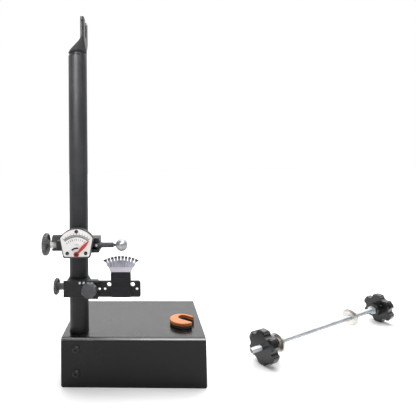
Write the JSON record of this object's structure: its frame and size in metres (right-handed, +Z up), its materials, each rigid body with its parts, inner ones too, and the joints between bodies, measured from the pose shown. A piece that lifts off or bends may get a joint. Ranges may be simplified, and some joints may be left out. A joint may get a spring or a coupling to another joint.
{
  "type": "bicycle wheel truing stand",
  "caption": "Bench stand for truing bicycle wheels: slotted column on a bent steel base, with a rim comb, a dial gauge for side run-out, a spacer and an axle adapter.",
  "frame": {"origin": "on the bench, under the middle of the base's footprint", "axes": "+X to the right along the wheel's axle, +Y to the back, +Z up along the column"},
  "size_m": [0.6021, 0.255, 0.5125],
  "materials": {
    "base_coat": "black powder coat, semi-gloss",
    "column_coat": "black powder coat, satin",
    "carriage_coat": "black oxide, matte",
    "bar_coat": "black, satin",
    "blackened_steel": "blackened steel",
    "zinc": "zinc plated",
    "bright_steel": "bright steel",
    "bronze": "sintered bronze",
    "comb_steel": "brushed, plated",
    "knob_plastic": "dark grey, textured",
    "ball_chrome": "polished",
    "casing_coat": "black, matte",
    "face_paint": "white enamel with grey ticks",
    "needle_paint": "red enamel",
    "spacer_plastic": "orange",
    "spacer_rubber": "black",
    "star_plastic": "glossy black",
    "cone_nickel": "dull nickel"
  },
  "bodies": {
    "stand": {"base_shell": "base_coat", "column_tube": "column_coat", "column_saddle": "base_coat", "column_bolts": "blackened_steel", "column_washers": "zinc", "column_nuts": "zinc"},
    "radial_carriage": {"radial_block": "carriage_coat", "guide_screws": "zinc"},
    "radial_tip": {"radial_clamp_tip": "bright_steel"},
    "radial_knob": {"radial_clamp_screw": "bright_steel", "radial_clamp_knob": "knob_plastic"},
    "comb_slide": {"comb_bar": "bar_coat", "comb_holder": "bar_coat", "comb_plate": "comb_steel", "comb_rivets": "bright_steel", "holder_screws": "blackened_steel"},
    "bar_tip": {"bar_lock_tip": "bright_steel"},
    "bar_knob": {"bar_lock_screw": "bright_steel", "bar_lock_knob": "knob_plastic"},
    "lateral_carriage": {"lateral_block": "carriage_coat", "clamp_nut": "zinc", "rod_bush": "bronze", "gauge_casing": "casing_coat", "gauge_face": "face_paint", "gauge_screws": "blackened_steel", "needle_pivot": "blackened_steel", "plunger_spring": "bright_steel"},
    "lateral_tip": {"lateral_clamp_tip": "bright_steel"},
    "lateral_knob": {"lateral_clamp_screw": "bright_steel", "lateral_clamp_knob": "knob_plastic"},
    "plunger": {"plunger_rod": "blackened_steel", "plunger_fork": "bright_steel", "plunger_ball": "ball_chrome", "arm_screw": "zinc"},
    "needle": {"gauge_needle": "needle_paint", "needle_pin": "bright_steel"},
    "spacer": {"spacer_pad": "spacer_rubber", "spacer_plate": "spacer_plastic"},
    "adapter": {"adapter_rod": "zinc", "adapter_far_knob": "star_plastic", "adapter_far_nut": "zinc"},
    "near_cone": {"adapter_near_cone": "cone_nickel"},
    "near_knob": {"adapter_near_knob": "star_plastic"},
    "far_cone": {"adapter_far_cone": "cone_nickel"}
  },
  "joints": [
    {"name": "radial_slide", "type": "slide", "parent": "stand", "child": "radial_carriage", "axis": [0, 0, 1], "range_m": [-0.042, 0.165]},
    {"name": "radial_tip_slide", "type": "slide", "parent": "radial_carriage", "child": "radial_tip", "axis": [-1, 0, 0], "range_m": [0, 0.00201]},
    {"name": "radial_knob_turn", "type": "hinge", "parent": "radial_tip", "child": "radial_knob", "pos_m": [-0.1076, -0.0451, 0.1259], "axis": [-1, 0, 0], "range_deg": [0, 720]},
    {"name": "bar_slide", "type": "slide", "parent": "radial_carriage", "child": "comb_slide", "axis": [1, 0, 0], "range_m": [-0.005, 0.025]},
    {"name": "bar_tip_slide", "type": "slide", "parent": "radial_carriage", "child": "bar_tip", "axis": [0, -1, 0], "range_m": [0, 0.00201]},
    {"name": "bar_knob_turn", "type": "hinge", "parent": "bar_tip", "child": "bar_knob", "pos_m": [-0.0575, -0.0761, 0.1316], "axis": [0, -1, 0], "range_deg": [0, 720]},
    {"name": "lateral_slide", "type": "slide", "parent": "radial_carriage", "child": "lateral_carriage", "axis": [0, 0, 1], "range_m": [-0.005, 0.07]},
    {"name": "lateral_tip_slide", "type": "slide", "parent": "lateral_carriage", "child": "lateral_tip", "axis": [-1, 0, 0], "range_m": [0, 0.00201]},
    {"name": "lateral_knob_turn", "type": "hinge", "parent": "lateral_tip", "child": "lateral_knob", "pos_m": [-0.1224, -0.0451, 0.186], "axis": [-1, 0, 0], "range_deg": [0, 720]},
    {"name": "plunger_slide", "type": "slide", "parent": "lateral_carriage", "child": "plunger", "axis": [1, 0, 0], "range_m": [-0.01133, 0], "stiffness_N_per_m": 80, "springref_m": 0.01, "deforming": ["plunger_spring"]},
    {"name": "needle_turn", "type": "hinge", "parent": "lateral_carriage", "child": "needle", "pos_m": [-0.0752, -0.077, 0.1783], "axis": [0, 1, 0], "range_deg": [-87.5, 0]},
    {"name": "spacer_lift", "type": "slide", "parent": "stand", "child": "spacer", "axis": [0, 0, 1], "range_m": [0, 0.05]},
    {"name": "adapter_lift", "type": "slide", "parent": "stand", "child": "adapter", "axis": [0, 0, 1], "range_m": [0, 0.05]},
    {"name": "near_cone_slide", "type": "slide", "parent": "adapter", "child": "near_cone", "axis": [0.8616, 0.5075, 0], "range_m": [0, 0.0476]},
    {"name": "near_knob_turn", "type": "hinge", "parent": "near_cone", "child": "near_knob", "pos_m": [0.19615, -0.00707, 0.025], "axis": [0.8616, 0.5075, 0], "range_deg": [0, 13680]},
    {"name": "far_cone_slide", "type": "slide", "parent": "adapter", "child": "far_cone", "axis": [0.8616, 0.5075, 0], "range_m": [-0.06, 0.058]}
  ],
  "couplings": [
    {"joint": "radial_tip_slide", "follows": "radial_knob_turn", "m_per_rad": 0.00015915},
    {"joint": "bar_tip_slide", "follows": "bar_knob_turn", "m_per_rad": 0.00015915},
    {"joint": "lateral_tip_slide", "follows": "lateral_knob_turn", "m_per_rad": 0.00015915},
    {"joint": "needle_turn", "follows": "plunger_slide", "rad_per_m": 134.6},
    {"joint": "near_cone_slide", "follows": "near_knob_turn", "m_per_rad": 0.00019894}
  ]
}
